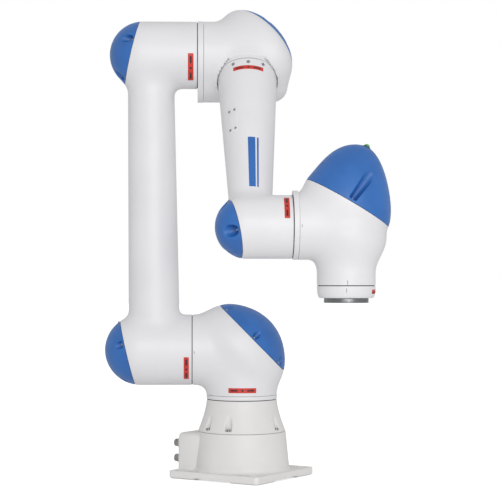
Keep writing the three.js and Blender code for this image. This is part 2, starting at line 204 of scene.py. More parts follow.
def groove(p, plane, along, across, radius, floor):
    """A well that stays open outwards, away from the plane's middle."""
    e, y, n = plane.local(p)
    rise = np.clip(n - floor, 0, GROOVE_TOP)
    inwards = np.maximum((across - y) * math.copysign(1, across), 0)
    reach = np.hypot(e - along - GROOVE_SLANT * rise, inwards)
    return np.maximum(reach - radius - GROOVE_FLARE * rise, floor - n)


def slope(field, p, step=0.05):
    """The gradient of a field."""
    shifts = np.eye(3) * step
    return np.stack([(field(p + s) - field(p - s)) / (2 * step) for s in shifts], 1)


def unit(v):
    return v / np.maximum(np.linalg.norm(v, axis=1), 1e-9)[:, None]


def settle(p, field, level=0.0, rounds=4):
    """Moves points onto the surface where the field has the given level."""
    for _ in range(rounds):
        g = slope(field, p)
        p = p - g * ((field(p) - level) / np.maximum((g * g).sum(1), 1e-6))[:, None]
    return p


# ---- from a field to a mesh ----

def surface(field, low, high, step):
    """Quads over a field's zero surface, one corner for each grid cell that it passes through."""
    low, high = np.array(low, float), np.array(high, float)
    counts = np.ceil((high - low) / step).astype(int) + 1
    axes = [low[i] + step * np.arange(counts[i]) for i in range(3)]
    points = np.stack(np.meshgrid(*axes, indexing="ij"), -1)
    values = field(points.reshape(-1, 3)).reshape(counts)
    cells = counts - 1
    total, hits = np.zeros((*cells, 3)), np.zeros(cells)
    crossings = []
    for axis in range(3):
        others = [(axis + 1) % 3, (axis + 2) % 3]
        near, far = [slice(None)] * 3, [slice(None)] * 3
        near[axis], far[axis] = slice(0, -1), slice(1, None)
        a, b = values[tuple(near)], values[tuple(far)]
        crossing = (a < 0) != (b < 0)
        share = np.where(crossing, a / np.where(crossing, a - b, 1), 0)
        where = points[tuple(near)].copy()
        where[..., axis] += share * step
        crossings.append((others, crossing, a < 0))
        for shifts in ((0, 0), (0, 1), (1, 0), (1, 1)):
            window = [slice(None)] * 3
            for other, shift in zip(others, shifts):
                window[other] = slice(shift, shift + cells[other])
            met = crossing[tuple(window)]
            total += where[tuple(window)] * met[..., None]
            hits += met
    used = hits > 0
    index = np.full(cells, -1)
    index[used] = np.arange(used.sum())
    quads = []
    for others, crossing, leaving in crossings:
        spots = np.argwhere(crossing)
        spots = spots[np.all([(spots[:, o] > 0) & (spots[:, o] < cells[o]) for o in others], axis=0)]
        around = []
        for shifts in ((1, 1), (0, 1), (0, 0), (1, 0)):
            cell = spots.copy()
            cell[:, others] -= shifts
            around.append(index[tuple(cell.T)])
        quad = np.stack(around, 1)
        outward = leaving[tuple(spots.T)]
        quad[~outward] = quad[~outward][:, ::-1]
        quads.append(quad)
    return total[used] / hits[used][:, None], np.concatenate(quads)


def relax(p, quads, field, rounds=2, share=0.6):
    """Evens out the corners along the surface, and puts them back on it."""
    p = settle(p, field)
    starts, ends = quads.ravel(), np.roll(quads, -1, axis=1).ravel()
    count = len(p)
    links = np.bincount(starts, minlength=count) + np.bincount(ends, minlength=count)
    for _ in range(rounds):
        middle = np.zeros_like(p)
        for i in range(3):
            middle[:, i] = np.bincount(starts, p[ends, i], count) + np.bincount(ends, p[starts, i], count)
        p = settle(p + share * (middle / links[:, None] - p), field, rounds=2)
    return settle(p, field, rounds=2)


def new_mesh(name, points, faces):
    mesh = bpy.data.meshes.new(name)
    mesh.from_pydata(points.tolist(), [], faces)
    return mesh


def new_object(name, data):
    """An object in the scene."""
    piece = bpy.data.objects.new(name, data)
    bpy.context.scene.collection.objects.link(piece)
    return piece


def opened(points, faces):
    """A mesh opened for editing."""
    mesh = new_mesh("editing", points, faces)
    bm = bmesh.new()
    bm.from_mesh(mesh)
    bpy.data.meshes.remove(mesh)
    return bm


def closed(bm):
    """The points, faces and open edges of an edited mesh."""
    bm.verts.index_update()
    points = np.array([v.co for v in bm.verts])
    faces = [[v.index for v in f.verts] for f in bm.faces]
    loops = [e.link_loops[0] for e in bm.edges if e.is_boundary]
    rims = [(loop.vert.index, loop.link_loop_next.vert.index) for loop in loops]
    bm.free()
    return points, faces, rims


def height_of(element):
    """The height of a corner, edge or face."""
    return max(v.co.z for v in getattr(element, "verts", (element,)))


def trimmed(p, quads, planes):
    """Cuts away what lies beyond each plane."""
    bm = opened(p, quads.tolist())
    for plane in planes:
        everything = bm.verts[:] + bm.edges[:] + bm.faces[:]
        if plane.below is not None:
            everything = [g for g in everything if height_of(g) < plane.below]
        bmesh.ops.bisect_plane(
            bm, geom=everything, dist=1e-4,
            plane_co=plane.point, plane_no=plane.normal, clear_outer=True)
    bmesh.ops.dissolve_degenerate(bm, dist=0.02, edges=bm.edges[:])
    points, faces, rims = closed(bm)
    return points, faces, np.array(rims, int).reshape(-1, 2)


def add_bands(points, faces, rims, rings, inner=None):
    """Joins open rims to rings of new points with bands of quads, and gives the edges along the rings.

    The last band ends on the points that come inner places after those of the rims.
    """
    corners = np.unique(rims)
    chain = [{c: c for c in corners}]
    for ring_points in rings:
        start = sum(map(len, points))
        points.append(ring_points)
        chain.append({c: start + i for i, c in enumerate(corners)})
    if inner is not None:
        chain.append({c: c + inner for c in corners})
    for near, far in zip(chain, chain[1:]):
        faces += [[near[b], near[a], far[a], far[b]] for a, b in rims]
    return [(ring_of[a], ring_of[b]) for ring_of in chain for a, b in rims]


EDGE = ((0.25, 0.5), (0.7, 0.8))  # the small round where a wall turns: inwards, past the cut
THINNEST = 0.3  # the share of its depth that a wall keeps free between its inside and the far side


def shell(field, low, high, step, planes, wall):
    """A casting or cover: the field's skin, cut by planes, with a real wall and softened edges."""
    reach = EDGE[-1][1]
    p, quads = surface(field, low, high, step)
    p = relax(p, quads, field)
    p, faces, rims = trimmed(p, quads, [plane.moved(-reach) for plane in planes])
    normals = unit(slope(field, p))
    count = len(p)
    depth = np.full((count, 1), float(wall))
    for _ in range(3):
        thin = field(p - depth * normals) > -THINNEST * depth[:, 0]
        depth[thin] /= 2
    points = [p, p - depth * normals]
    faces += [[i + count for i in reversed(f)] for f in faces]
    sharp = []
    for plane in planes:
        level = (p - plane.point) @ plane.normal + reach
        here = rims[(np.abs(level[rims]) < 1e-2).all(1)]
        corners = np.unique(here)
        inward = -unit(normals[corners] - np.outer(normals[corners] @ plane.normal, plane.normal))
        rings = [p[corners] + inward * sink + plane.normal * past for sink, past in (*EDGE, (wall, reach))]
        sharp += add_bands(points, faces, here, rings, count)
    return np.concatenate(points), faces, sharp


# ---- turned, extruded and wrapped shapes ----

def softened(outline, size=0.8, steps=3):
    """A closed outline with every sharp corner rounded off."""
    result = []
    points = [np.array(q, float) for q in outline]
    for before, corner, after in zip(points[-1:] + points[:-1], points, points[1:] + points[:1]):
        a, b = before - corner, after - corner
        la, lb = np.linalg.norm(a), np.linalg.norm(b)
        turn = math.acos(max(-1, min(1, -(a @ b) / (la * lb))))
        if turn < radians(15) or corner[0] < 1e-6:
            result.append(corner)
            continue
        reach = min(size, la * 0.45, lb * 0.45)
        first, last = corner + a / la * reach, corner + b / lb * reach
        for i in range(steps + 1):
            t = i / steps
            result.append((1 - t) ** 2 * first + 2 * t * (1 - t) * corner + t * t * last)
    return result


def circle(sides):
    """Directions round a circle, as the path of a turned shape."""
    angles = np.arange(sides) * 2 * pi / sides
    facing = np.stack([np.cos(angles), np.sin(angles)], 1)
    return np.zeros((sides, 2)), facing


def oval(sides, shift):
    """The path round two equal circles, the second one shifted."""
    centres, facing = circle(sides)
    far = facing @ np.array(shift) > 0
    return np.where(far[:, None], shift, centres), facing


AXES = {
    "x": np.array([[0, 1, 0], [0, 0, 1], [1, 0, 0]], float),
    "z": np.array([[1, 0, 0], [0, 1, 0], [0, 0, 1]], float),
}


def turned(outline, path=None, axis="z"):
    """Sweeps a closed outline of (radius, height) points round a path."""
    centres, facing = circle(96) if path is None else path
    outline = np.array(outline)
    flat = centres[:, None, :] + facing[:, None, :] * outline[None, :, :1]
    height = np.broadcast_to(outline[None, :, 1:], (*flat.shape[:2], 1))
    points = np.concatenate([flat, height], 2).reshape(-1, 3) @ AXES[axis]
    rounds, count = flat.shape[:2]
    area = sum(a[0] * b[1] - b[0] * a[1] for a, b in zip(outline, np.roll(outline, -1, 0)))
    i, k = np.divmod(np.arange(rounds * count), count)
    j, m = (i + 1) % rounds, (k + 1) % count
    quads = np.stack([i * count + k, j * count + k, j * count + m, i * count + m], 1)
    return points, (quads if area > 0 else quads[:, ::-1]).tolist(), []


def moved(shape, x=0.0, y=0.0, z=0.0, matrix=None):
    points, faces, sharp = shape
    if matrix is not None:
        m = np.array(matrix)
        points = points @ m[:3, :3].T + m[:3, 3]
    return points + [x, y, z], faces, sharp


def together(shapes):
    """Several shapes as one mesh."""
    points, faces, sharp, start = [], [], [], 0
    for p, f, s in shapes:
        points.append(p)
        faces += [[i + start for i in face] for face in f]
        sharp += [(a + start, b + start) for a, b in s]
        start += len(p)
    return np.concatenate(points), faces, sharp


def stacked(levels):
    """A closed solid through equal rings of flat points, each given with its height."""
    count = len(levels[0][0])
    points = np.concatenate([np.column_stack([flat, np.full(count, z)]) for flat, z in levels])
    last = len(points) - count
    faces = [[*reversed(range(count))], [*range(last, len(points))]]
    for start in range(0, last, count):
        for i in range(count):
            j = (i + 1) % count
            faces.append([start + i, start + j, start + count + j, start + count + i])
    return points, faces, []


def cap_screw(radius, height, socket=0.45, sides=24):
    """A socket-head screw: a round head standing on z = 0 with a six-sided key hole."""
    turn = np.arange(sides) * 2 * pi / sides
    round_of = circle(sides)[1]
    within = (turn % (pi / 3)) - pi / 6
    hexagon = round_of * (cos(pi / 6) / np.cos(within))[:, None] * radius * socket
    soft = radius * 0.12
    return stacked([
        (round_of * radius, 0), (round_of * radius, height - soft),
        (round_of * (radius - soft * 0.3), height - soft * 0.3), (round_of * (radius - soft), height),
        (hexagon * 1.06, height), (hexagon, height - soft * 0.5), (hexagon, height * 0.45),
    ])


def facing(point, direction):
    """A frame whose Z points along a direction."""
    turn = Vector(direction).to_track_quat("Z", "Y").to_matrix().to_4x4()
    return Matrix.Translation(Vector(point)) @ turn


def seated(spot, field, level):
    """A frame that stands on a field's surface near a spot."""
    p = settle(np.array([spot]), field, level)
    return facing(p[0], slope(field, p)[0])


def prism(outline, low, high, soft=1.0):
    """An outline extruded along Z, with softened rims. The outline runs anticlockwise."""
    outline = np.array(outline, float)
    ahead, behind = np.roll(outline, -1, 0) - outline, outline - np.roll(outline, 1, 0)
    out_a, out_b = [unit(side[:, ::-1] * [1, -1]) for side in (ahead, behind)]
    outward = out_a + out_b
    outward /= np.maximum((outward * out_a).sum(1), 0.3)[:, None]
    near = soft * 0.3
    levels = [(soft, low), (near, low + near), (0, low + soft),
              (0, high - soft), (near, high - near), (soft, high)]
    return stacked([(outline - outward * inset, z) for inset, z in levels])


def rectangle(left, right, low, high):
    return [(left, low), (right, low), (right, high), (left, high)]


QUARTERS = ((1, 1, 0), (-1, 1, 90), (-1, -1, 180), (1, -1, 270))  # a square's corners, start of their arcs


def rounded_rectangle(width, depth, corner, steps=6):
    points = []
    for x, y, start in QUARTERS:
        centre = np.array([x * (width / 2 - corner), y * (depth / 2 - corner)])
        points += [centre + polar(corner, start + 90 * i / steps)[:2] for i in range(steps + 1)]
    return points


def sticker(shape, to_surface, field, thick=0.35, grid=2.5):
    """A thin patch laid on a field's surface. shape is an outline in patch millimetres."""
    bm = bmesh.new()
    bm.faces.new([bm.verts.new((x, y, 0)) for x, y in shape])
    for axis in (0, 1):
        normal = np.eye(3)[axis]
        places = [corner[axis] for corner in shape]
        for line in range(math.ceil(min(places) / grid), math.floor(max(places) / grid) + 1):
            everything = bm.verts[:] + bm.edges[:] + bm.faces[:]
            bmesh.ops.bisect_plane(bm, geom=everything, dist=1e-4,
                                   plane_co=normal * line * grid, plane_no=normal)
    flat, faces, rims = closed(bm)
    seed = to_surface(flat[:, :2])
    top, under = settle(seed, field, thick), settle(seed, field, -0.4)
    count = len(top)
    a, b, c = top[faces[0][:3]]
    outside = slope(field, top[faces[0][:1]])[0]
    if np.cross(b - a, c - b) @ outside < 0:
        faces = [f[::-1] for f in faces]
        rims = [(b, a) for a, b in rims]
    faces += [[i + count for i in reversed(f)] for f in faces]
    faces += [[b, a, a + count, b + count] for a, b in rims]
    return np.concatenate([top, under]), faces, []


# ---- materials ----

def scaled(colour, factor):
    return tuple(min(1.0, c * factor) for c in colour)


class Nodes:
    """Short names for building one material's nodes."""

    def __init__(self, name):
        self.material = bpy.data.materials.new(name)
        self.material.use_nodes = True
        self.tree = self.material.node_tree
        self.shader = self.tree.nodes["Principled BSDF"]
        self.place = self.add("ShaderNodeTexCoord", {}).outputs["Object"]

    def feed(self, socket, value):
        """Gives a socket a number, a colour or another node's output."""
        if isinstance(value, bpy.types.NodeSocket):
            self.tree.links.new(value, socket)
        else:
            socket.default_value = (*value, 1) if socket.type == "RGBA" else value

    def add(self, kind, inputs, **settings):
        node = self.tree.nodes.new(kind)
        for key, value in settings.items():
            setattr(node, key, value)
        for key, value in inputs.items():
            self.feed(node.inputs[key], value)
        return node

    def noise(self, scale, detail=3.0, roughness=0.5, place=None):
        inputs = {"Vector": place or self.place, "Scale": scale, "Detail": detail, "Roughness": roughness}
        return self.add("ShaderNodeTexNoise", inputs).outputs["Fac"]

    def ramp(self, source, low, high, first=0.0, last=1.0):
        inputs = {"Value": source, "From Min": low, "From Max": high, "To Min": first, "To Max": last}
        return self.add("ShaderNodeMapRange", inputs).outputs["Result"]

    def spread(self, scale, detail, first=0.0, last=1.0):
        """Noise spread evenly between two values."""
        return self.ramp(self.noise(scale, detail), 0.3, 0.7, first, last)

    def mix(self, share, first, second):
        node = self.add("ShaderNodeMix", {"Factor": share}, data_type="RGBA")
        colours = [s for s in node.inputs if s.type == "RGBA"]
        for socket, value in zip(colours, (first, second)):
            self.feed(socket, value)
        return next(s for s in node.outputs if s.type == "RGBA")

    def worn(self, colour, share, dark, light, rubbed, low=0.53, high=0.62):
        """A colour that runs from a dark to a light shade, with another shade on rubbed edges."""
        tone = self.mix(share, scaled(colour, dark), scaled(colour, light))
        edges = self.ramp(self.add("ShaderNodeNewGeometry", {}).outputs["Pointiness"], low, high)
        return self.mix(edges, tone, scaled(colour, rubbed))

    def bump(self, source, strength, distance, **after):
        inputs = {"Height": source, "Strength": strength, "Distance": distance, **after}
        return self.add("ShaderNodeBump", inputs).outputs["Normal"]

    def finish(self, colour, roughness, normal, **constants):
        inputs = {"Base Color": colour, "Roughness": roughness, "Normal": normal, **constants}
        for key, value in inputs.items():
            self.feed(self.shader.inputs[key.replace("_", " ")], value)
        return self.material


def painted(name, colour, rough=0.42):
    """Satin powder coat on a casting: faint orange peel, cloudy tone and slightly polished edges."""
    n = Nodes(name)
    cloud = n.ramp(n.noise(9, 4), 0.35, 0.65)
    shades = n.worn(colour, cloud, 0.965, 1, 1.06)
    roughness = n.spread(60, 5, rough - 0.05, rough + 0.07)
    peel = n.bump(n.noise(420, 2), 0.16, 0.0004)
    grit = n.bump(n.noise(2600, 2), 0.10, 0.0001, Normal=peel)
    return n.finish(shades, roughness, grit, Coat_Weight=0.12, Coat_Roughness=0.3)


def moulded(name, colour, rough=0.38, grain=1500):
    """Moulded plastic: fine spark-eroded grain, faint flow marks and rubbed edges."""
    n = Nodes(name)
    flow = n.ramp(n.noise(14, 5, 0.6), 0.35, 0.65)
    shades = n.worn(colour, flow, 0.90, 1.06, 1.35, 0.54, 0.66)
    roughness = n.spread(90, 5, rough - 0.05, rough + 0.08)
    return n.finish(shades, roughness, n.bump(n.noise(grain, 3), 0.22, 0.00018))


def machined(name, colour, rough=0.3, lines=900):
    """Turned or ground metal: fine rings of tool marks and darker stains."""
    n = Nodes(name)
    stretch = n.add("ShaderNodeMapping", {"Vector": n.place, "Scale": (1, 1, 14)})
    marks = n.noise(lines / 4, 4, place=stretch.outputs["Vector"])
    shades = n.worn(colour, n.spread(35, 4), 0.82, 1, 1.25)
    roughness = n.spread(120, 4, rough - 0.06, rough + 0.12)
    return n.finish(shades, roughness, n.bump(marks, 0.25, 0.00012), Metallic=1.0)


def circuit(name):
    """Green solder mask with pale tracks and pads."""
    n = Nodes(name)
    cells = n.add("ShaderNodeTexVoronoi", {"Vector": n.place, "Scale": 260},
                  distance="CHEBYCHEV", feature="DISTANCE_TO_EDGE")
    track = n.ramp(cells.outputs["Distance"], 0.04, 0.08, 1.0, 0.0)
    tone = n.mix(track, (0.02, 0.16, 0.06), (0.10, 0.34, 0.16))
    return n.finish(tone, n.spread(200, 3, 0.4, 0.6), n.bump(track, 0.3, 0.0001))


def lens(name):
    """Tinted moulded lens over a lamp."""
    n = Nodes(name)
    tone = n.mix(n.spread(160, 3), (0.05, 0.42, 0.08), (0.16, 0.62, 0.18))
    ribs = n.bump(n.noise(900, 1), 0.1, 0.0001)
    return n.finish(tone, n.spread(300, 3, 0.10, 0.2), ribs, Transmission_Weight=0.35, IOR=1.49)


WHITE = painted("white_powder_coat", (0.80, 0.795, 0.815))
WARM = painted("warm_powder_coat", (0.80, 0.785, 0.775), rough=0.48)
BLUE = moulded("blue_cover_plastic", (0.027, 0.146, 0.47))
DARK = moulded("dark_plastic", (0.028, 0.029, 0.032), rough=0.5, grain=900)
# black rubber for the joint seals and the panel gasket; in the joint gaps its black is also painted shade
RUBBER_AND_GAP_SHADE = moulded("black_seal_and_gap_shade", (0.012, 0.012, 0.013), rough=0.7, grain=700)
RED = moulded("red_label_film", (0.62, 0.035, 0.022), rough=0.35, grain=2200)
INK = moulded("dark_label_ink", (0.035, 0.012, 0.012), rough=0.45, grain=2600)
TICK = moulded("grey_mark_paint", (0.10, 0.10, 0.11), rough=0.5, grain=2600)
STEEL = machined("machined_steel", (0.26, 0.265, 0.275))
NICKEL = machined("nickel_plating", (0.40, 0.395, 0.385), rough=0.34, lines=2000)
SCREW_STEEL = machined("screw_steel", (0.42, 0.43, 0.45), rough=0.35, lines=2400)
GEAR = machined("ground_gear_steel", (0.30, 0.31, 0.33), rough=0.32)
COPPER = machined("varnished_copper", (0.55, 0.25, 0.12), rough=0.35, lines=3000)
BOARD = circuit("circuit_board")
GREEN = lens("green_lens")


# ---- making pieces ----

def make(name, shape, on, material, stands_for=(), crease=30):
    """Puts a shape into the scene in its frame, and lets it ride on its body."""
    matrix, body = on
    points, faces, sharp = moved(shape, matrix=matrix)
    mesh = new_mesh(name, points * METRES, faces)
    mesh.validate()
    mesh.shade_smooth()
    if crease is not None:
        mesh.set_sharp_from_angle(angle=radians(crease))
    if sharp:
        count = len(points)
        wanted = np.sort(np.array(sharp), axis=1) @ [count, 1]
        ends = np.zeros(len(mesh.edges) * 2, int)
        mesh.edges.foreach_get("vertices", ends)
        keys = np.sort(ends.reshape(-1, 2), axis=1) @ [count, 1]
        flags = mesh.attributes.get("sharp_edge") or mesh.attributes.new("sharp_edge", "BOOLEAN", "EDGE")
        flags.data.foreach_set("value", np.isin(keys, wanted))
    mesh.materials.append(material)
    piece = new_object(name, mesh)
    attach(piece, body)
    if stands_for:
        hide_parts(*stands_for)


def casting(name, field, low, high, planes, on, node):
    shape = shell(field, low, high, GRID, planes, CASTING_WALL)
    make(name, shape, on, WHITE, (node,), crease=None)


def ring(name, outer, inner, low, high, on, nodes=(), axis="z", path=None, z=0.0):
    """A machined and painted ring beside a joint."""
    outline = softened(rectangle(inner, outer, low, high), 0.9)
    make(name, moved(turned(outline, path, axis), z=z), on, WHITE, nodes)


def seal_and_gap_shade(name, radius, level, on, axis="z", across=6.0):
    """A black rubber ring that closes the gap at a joint, a little inside the radius of the pipes beside it;
    its black also stands in as painted shade deep in the gap.
    """
    outer = radius - SEAL_INSET
    outline = softened(rectangle(outer - across, outer, level - SEAL_HALF, level + SEAL_HALF))
    make(name, turned(outline, axis=axis), on, RUBBER_AND_GAP_SHADE)


def label(name, to_surface, field, length, height, on):
    """A red sticker with generic arrows for the two ways a joint turns."""
    patch = rounded_rectangle(length, height, 1.2, steps=2)
    make(name, sticker(patch, to_surface, field), on, RED, crease=None)
    size = height * 0.42
    bar, wing = size * 0.36, size * 0.62
    marks = []
    for side in (-1, 1):
        near, far = side * length * 0.17, side * length * 0.36
        marks.append([(far + side * size, 0), (far, side * wing), (far, -side * wing)])
        marks.append(rectangle(min(near, far), max(near, far), -bar, bar))
    marks.append(circle(12)[1] * size * 0.5)
    shapes = [sticker(mark, to_surface, field, thick=0.5) for mark in marks]
    make(name + "_marks", together(shapes), on, INK, crease=None)


def tick(name, to_surface, field, on, half=3):
    """A short dark mark that shows a joint's zero."""
    mark = rectangle(-half, half, -0.45, 0.45)
    make(name, sticker(mark, to_surface, field), on, TICK, crease=None)


def round_x(x, radius, angle, z=0.0):
    """Maps patch points onto a pipe along X. The patch's length runs round the pipe."""
    def place(flat):
        turn = np.radians(angle) + flat[:, 0] / radius
        return np.stack([x + flat[:, 1], -radius * np.cos(turn), z + radius * np.sin(turn)], 1)
    return place


def round_z(z, radius, angle, length_up=False):
    """Maps patch points onto a pipe along Z; the angle is measured from -Y towards +X."""
    def place(flat):
        around, up = (flat[:, 1], flat[:, 0]) if length_up else (flat[:, 0], flat[:, 1])
        turn = np.radians(angle) + around / radius
        return np.stack([radius * np.sin(turn), -radius * np.cos(turn), z + up], 1)
    return place


def cover(name, field, low, high, plane, on, node, scoops, radius, floor=4.0, hollow=well):
    """A blue cover with screw scoops cut straight down to near its rim, and the screws in them."""
    def scooped(p):
        d = field(p)
        for along, across in scoops:
            d = blend_cut(d, hollow(p, plane, along, across, radius, floor), 2.5)
        return d
    shape = shell(scooped, low, high, FINE_GRID, [plane.moved(SEAM_GAP).flipped()], COVER_WALL)
    make(name, shape, on, BLUE, (node,), crease=None)
    bottom = plane.moved(floor - 0.3)
    spots = [bottom.point + along * plane.along + [0, across, 0] for along, across in scoops]
    heads = [moved(cap_screw(4.2, 2.4), matrix=facing(spot, plane.normal)) for spot in spots]
    make(name + "_screws", together(heads), on, STEEL)


def round_scoops(angles, across_radius, along_radius=None, offset=0.0):
    """Scoop places round a rim; angles run from -Y towards the plane's along direction."""
    turns = np.radians(angles)
    along = offset + (along_radius or across_radius) * np.sin(turns)
    return list(zip(along, -across_radius * np.cos(turns)))


# ---- base ----

PLATE_SIDE = 250
PLATE_THICK = 18
PLATE_CORNER = 10
PLATE_SOFT = 1.2  # how far the plate's upper edge is rounded
SKIRT_TOP = 108
SKIRT_FOOT = 113
SKIRT_NECK = 104
SKIRT_WALL = 8
COLLAR_TOP = 83
POCKET_CIRCLE = 97.5
POCKETS = (0, 75, 110, 180, -75, -110)


def skirt_radius(height):
    return SKIRT_FOOT + (SKIRT_NECK - SKIRT_FOOT) * (height - PLATE_THICK) / (SKIRT_TOP - PLATE_THICK)


def collar_radius(height):
    rise = np.clip((height - SKIRT_TOP) / (SWIVEL_PLANE - SKIRT_TOP), 0, 1.1)
    return COLLAR_TOP + (SKIRT_NECK - COLLAR_TOP) * np.maximum(1 - rise, 0) ** 1.5


def base_collar():
    def field(p):
        d = cone(p, collar_radius(p[:, 2])) * 0.95
        for angle in POCKETS:
            hole = cone(p - polar(POCKET_CIRCLE, angle), 8.5)
            d = blend_cut(d, np.maximum(hole, SKIRT_TOP + 6.5 - p[:, 2]), 1.6)
        return d
    planes = [plane_z(SWIVEL_PLANE - JOINT_GAP, 1), plane_z(SKIRT_TOP + 0.5, -1)]
    low, high = (-108, -108, SKIRT_TOP - 4), (108, 108, SWIVEL_PLANE + 4)
    shape = shell(field, low, high, 2.0, planes, CASTING_WALL)
    make("collar_shell", shape, ON_BASE, WARM, ("base_collar",), crease=None)
    bolts = [moved(cap_screw(4.4, 5.0), *polar(POCKET_CIRCLE, angle, SKIRT_TOP + 6.2)) for angle in POCKETS]
    make("collar_bolts", together(bolts), ON_BASE, STEEL)
    seal_and_gap_shade("swivel_seal_and_gap_shade", COLLAR_TOP, SWIVEL_PLANE, ON_BASE)


def base_plate():
    """The foot plate with its skirt, in one casting that is open at both ends."""
    half = PLATE_SIDE / 2
    straight = half - PLATE_CORNER

    def field(p):
        return blend_join(cone(p, skirt_radius(p[:, 2])) * 0.99, p[:, 2] - PLATE_THICK, 9)

    low, high = (-half - 6, -half - 6, 2), (half + 6, half + 6, SKIRT_TOP + 6)
    p, quads = surface(field, low, high, 3.0)
    p = relax(p, quads, field)
    planes = [plane_z(SKIRT_TOP - 0.5 - 0.8, 1)]
    for x, y, start in QUARTERS:
        for turn in range(start, start + 91, 15):
            out = polar(1, turn)
            spot = np.array([x, y, 0]) * straight + out * (PLATE_CORNER - PLATE_SOFT)
            planes.append(Plane(0, 0, 0).set_to(spot, out))
    p, faces, rims = trimmed(p, quads, planes)
    upper = rims[(p[rims][:, :, 2] > SKIRT_TOP - 3).all(1)]
    lower = rims[(p[rims][:, :, 2] < PLATE_THICK + 1).all(1)]
    skirt_steps = ((-0.25, SKIRT_TOP - 0.8), (-0.8, SKIRT_TOP - 0.5),
                   (-SKIRT_WALL, SKIRT_TOP - 0.5), (-SKIRT_WALL, PLATE_THICK - 6))
    foot_steps = ((PLATE_SOFT * 0.7, PLATE_THICK - PLATE_SOFT * 0.3), (PLATE_SOFT, PLATE_THICK - PLATE_SOFT),
                  (PLATE_SOFT, 2.6), (0.4, 1.8), (-2.5, 1.4), (-2.5, 0), (-7, 0))
    points = [p]
    for edges, core, steps in ((upper, 0, skirt_steps), (lower, straight, foot_steps)):
        at = p[np.unique(edges)]
        out = unit((at - np.clip(at, -core, core)) * [1, 1, 0])
        add_bands(points, faces, edges, [(at + out * far) * [1, 1, 0] + [0, 0, z] for far, z in steps])
    return np.concatenate(points), faces, []


def filled(shape):
    """Closes the open rims of a shape with flat faces."""
    bm = opened(*shape[:2])
    bmesh.ops.holes_fill(bm, edges=[e for e in bm.edges if e.is_boundary])
    bmesh.ops.recalc_face_normals(bm, faces=bm.faces[:])
    return closed(bm)


def carved(body, tools):
    """A shape with others cut out of it."""
    objects = [new_object("carving", new_mesh("carving", *shape[:2])) for shape in (body, *tools)]
    for tool in objects[1:]:
        step = objects[0].modifiers.new("cut", "BOOLEAN")
        step.operation, step.object, step.solver = "DIFFERENCE", tool, "EXACT"
    depsgraph = bpy.context.evaluated_depsgraph_get()
    result = bpy.data.meshes.new_from_object(objects[0].evaluated_get(depsgraph))
    points = np.array([v.co for v in result.vertices])
    faces = [list(f.vertices) for f in result.polygons]
    for mesh in [result] + [piece.data for piece in objects]:
        bpy.data.meshes.remove(mesh)
    return points, faces, []


BOX_WIDTH = 172
BOX_END = -121
BOX_TOP = 104
BOX_CORNER = 14
BOX_TURN = Matrix(((0, 0, 1, 0), (1, 0, 0, 0), (0, 1, 0, 0), (0, 0, 0, 1)))  # prism XY to the YZ plane
TO_LEFT = Matrix.Rotation(radians(-90), 4, "Y")  # from +Z to -X
PANEL_FACE = BOX_END - 2.9
PORTS = {  # radius, place across and up the panel, and length
    "power_connector": (10, -68, 42, 19),
    "signal_connector": (10, -68, 78, 19),
    "network_connector": (9, -22, 60, 16),
    "air_fitting": (7, 24, 60, 18),
    "ground_terminal": (5, 62, 44, 10),
}
BOLT = 104
RELIEF = (100, 60, 4.5)  # the notch under each side of the foot plate: along, across and up


def box_outline(inset=0.0):
    """The connector box seen from its end: square at the foot, rounded at the top."""
    half, top, corner = BOX_WIDTH / 2 - inset, BOX_TOP - inset, BOX_CORNER - inset
    foot = PLATE_THICK - 2 + inset
    points = [(-half, foot), (half, foot)]
    for x, start in ((half - corner, 0), (corner - half, 90)):
        points += [(x, top - corner) + polar(corner, start + 90 * i / 8)[:2] for i in range(9)]
    return points


def box_slice(inset, low, high, soft):
    """A slice of the connector box, set in from its outline."""
    return moved(prism(box_outline(inset), low, high, soft), matrix=BOX_TURN)


def connector(r, length):
    """A round screw-on connector with a knurled ring, lying along -X from the panel face."""
    outline = [
        (r * 0.3, 4), (r * 0.7, 4), (r * 0.7, 0), (r, 0), (r, -2.5), (r * 0.86, -3.5),
        (r * 0.86, -4.5), (r, -5.5), (r, -length * 0.62), (r * 0.9, -length * 0.68),
        (r * 0.9, -length), (r * 0.62, -length), (r * 0.62, -length + 7), (r * 0.3, -length + 7),
    ]
    points, faces, _ = turned(softened(outline, 0.5), circle(72), "x")
    x, y, z = points.T
    ridged = (x < -6.5) & (x > -length * 0.6) & (np.hypot(y, z) > r * 0.93)
    turn = np.arctan2(z[ridged], y[ridged])
    points[ridged, 1:] *= (1 - 0.035 * (np.cos(turn * 18) > 0))[:, None]
    return points, faces, []


def hex_fitting(radius, length):
    """A push-in air fitting: a hexagon nut, a collar and a release ring."""
    nut = moved(prism(circle(6)[1] * radius * 1.1, 0, 6, 0.5), matrix=TO_LEFT)
    outline = [(2.6, 2), (5.4, 2), (5.4, -length + 4), (4.6, -length + 3), (4.6, -length), (2.6, -length)]
    return together([nut, turned(softened(outline, 0.4), circle(48), "x")])


def drill(radius, low, high, sides=40):
    """The solid that a drilled hole takes away."""
    return prism(circle(sides)[1] * radius, low, high, 0.4)


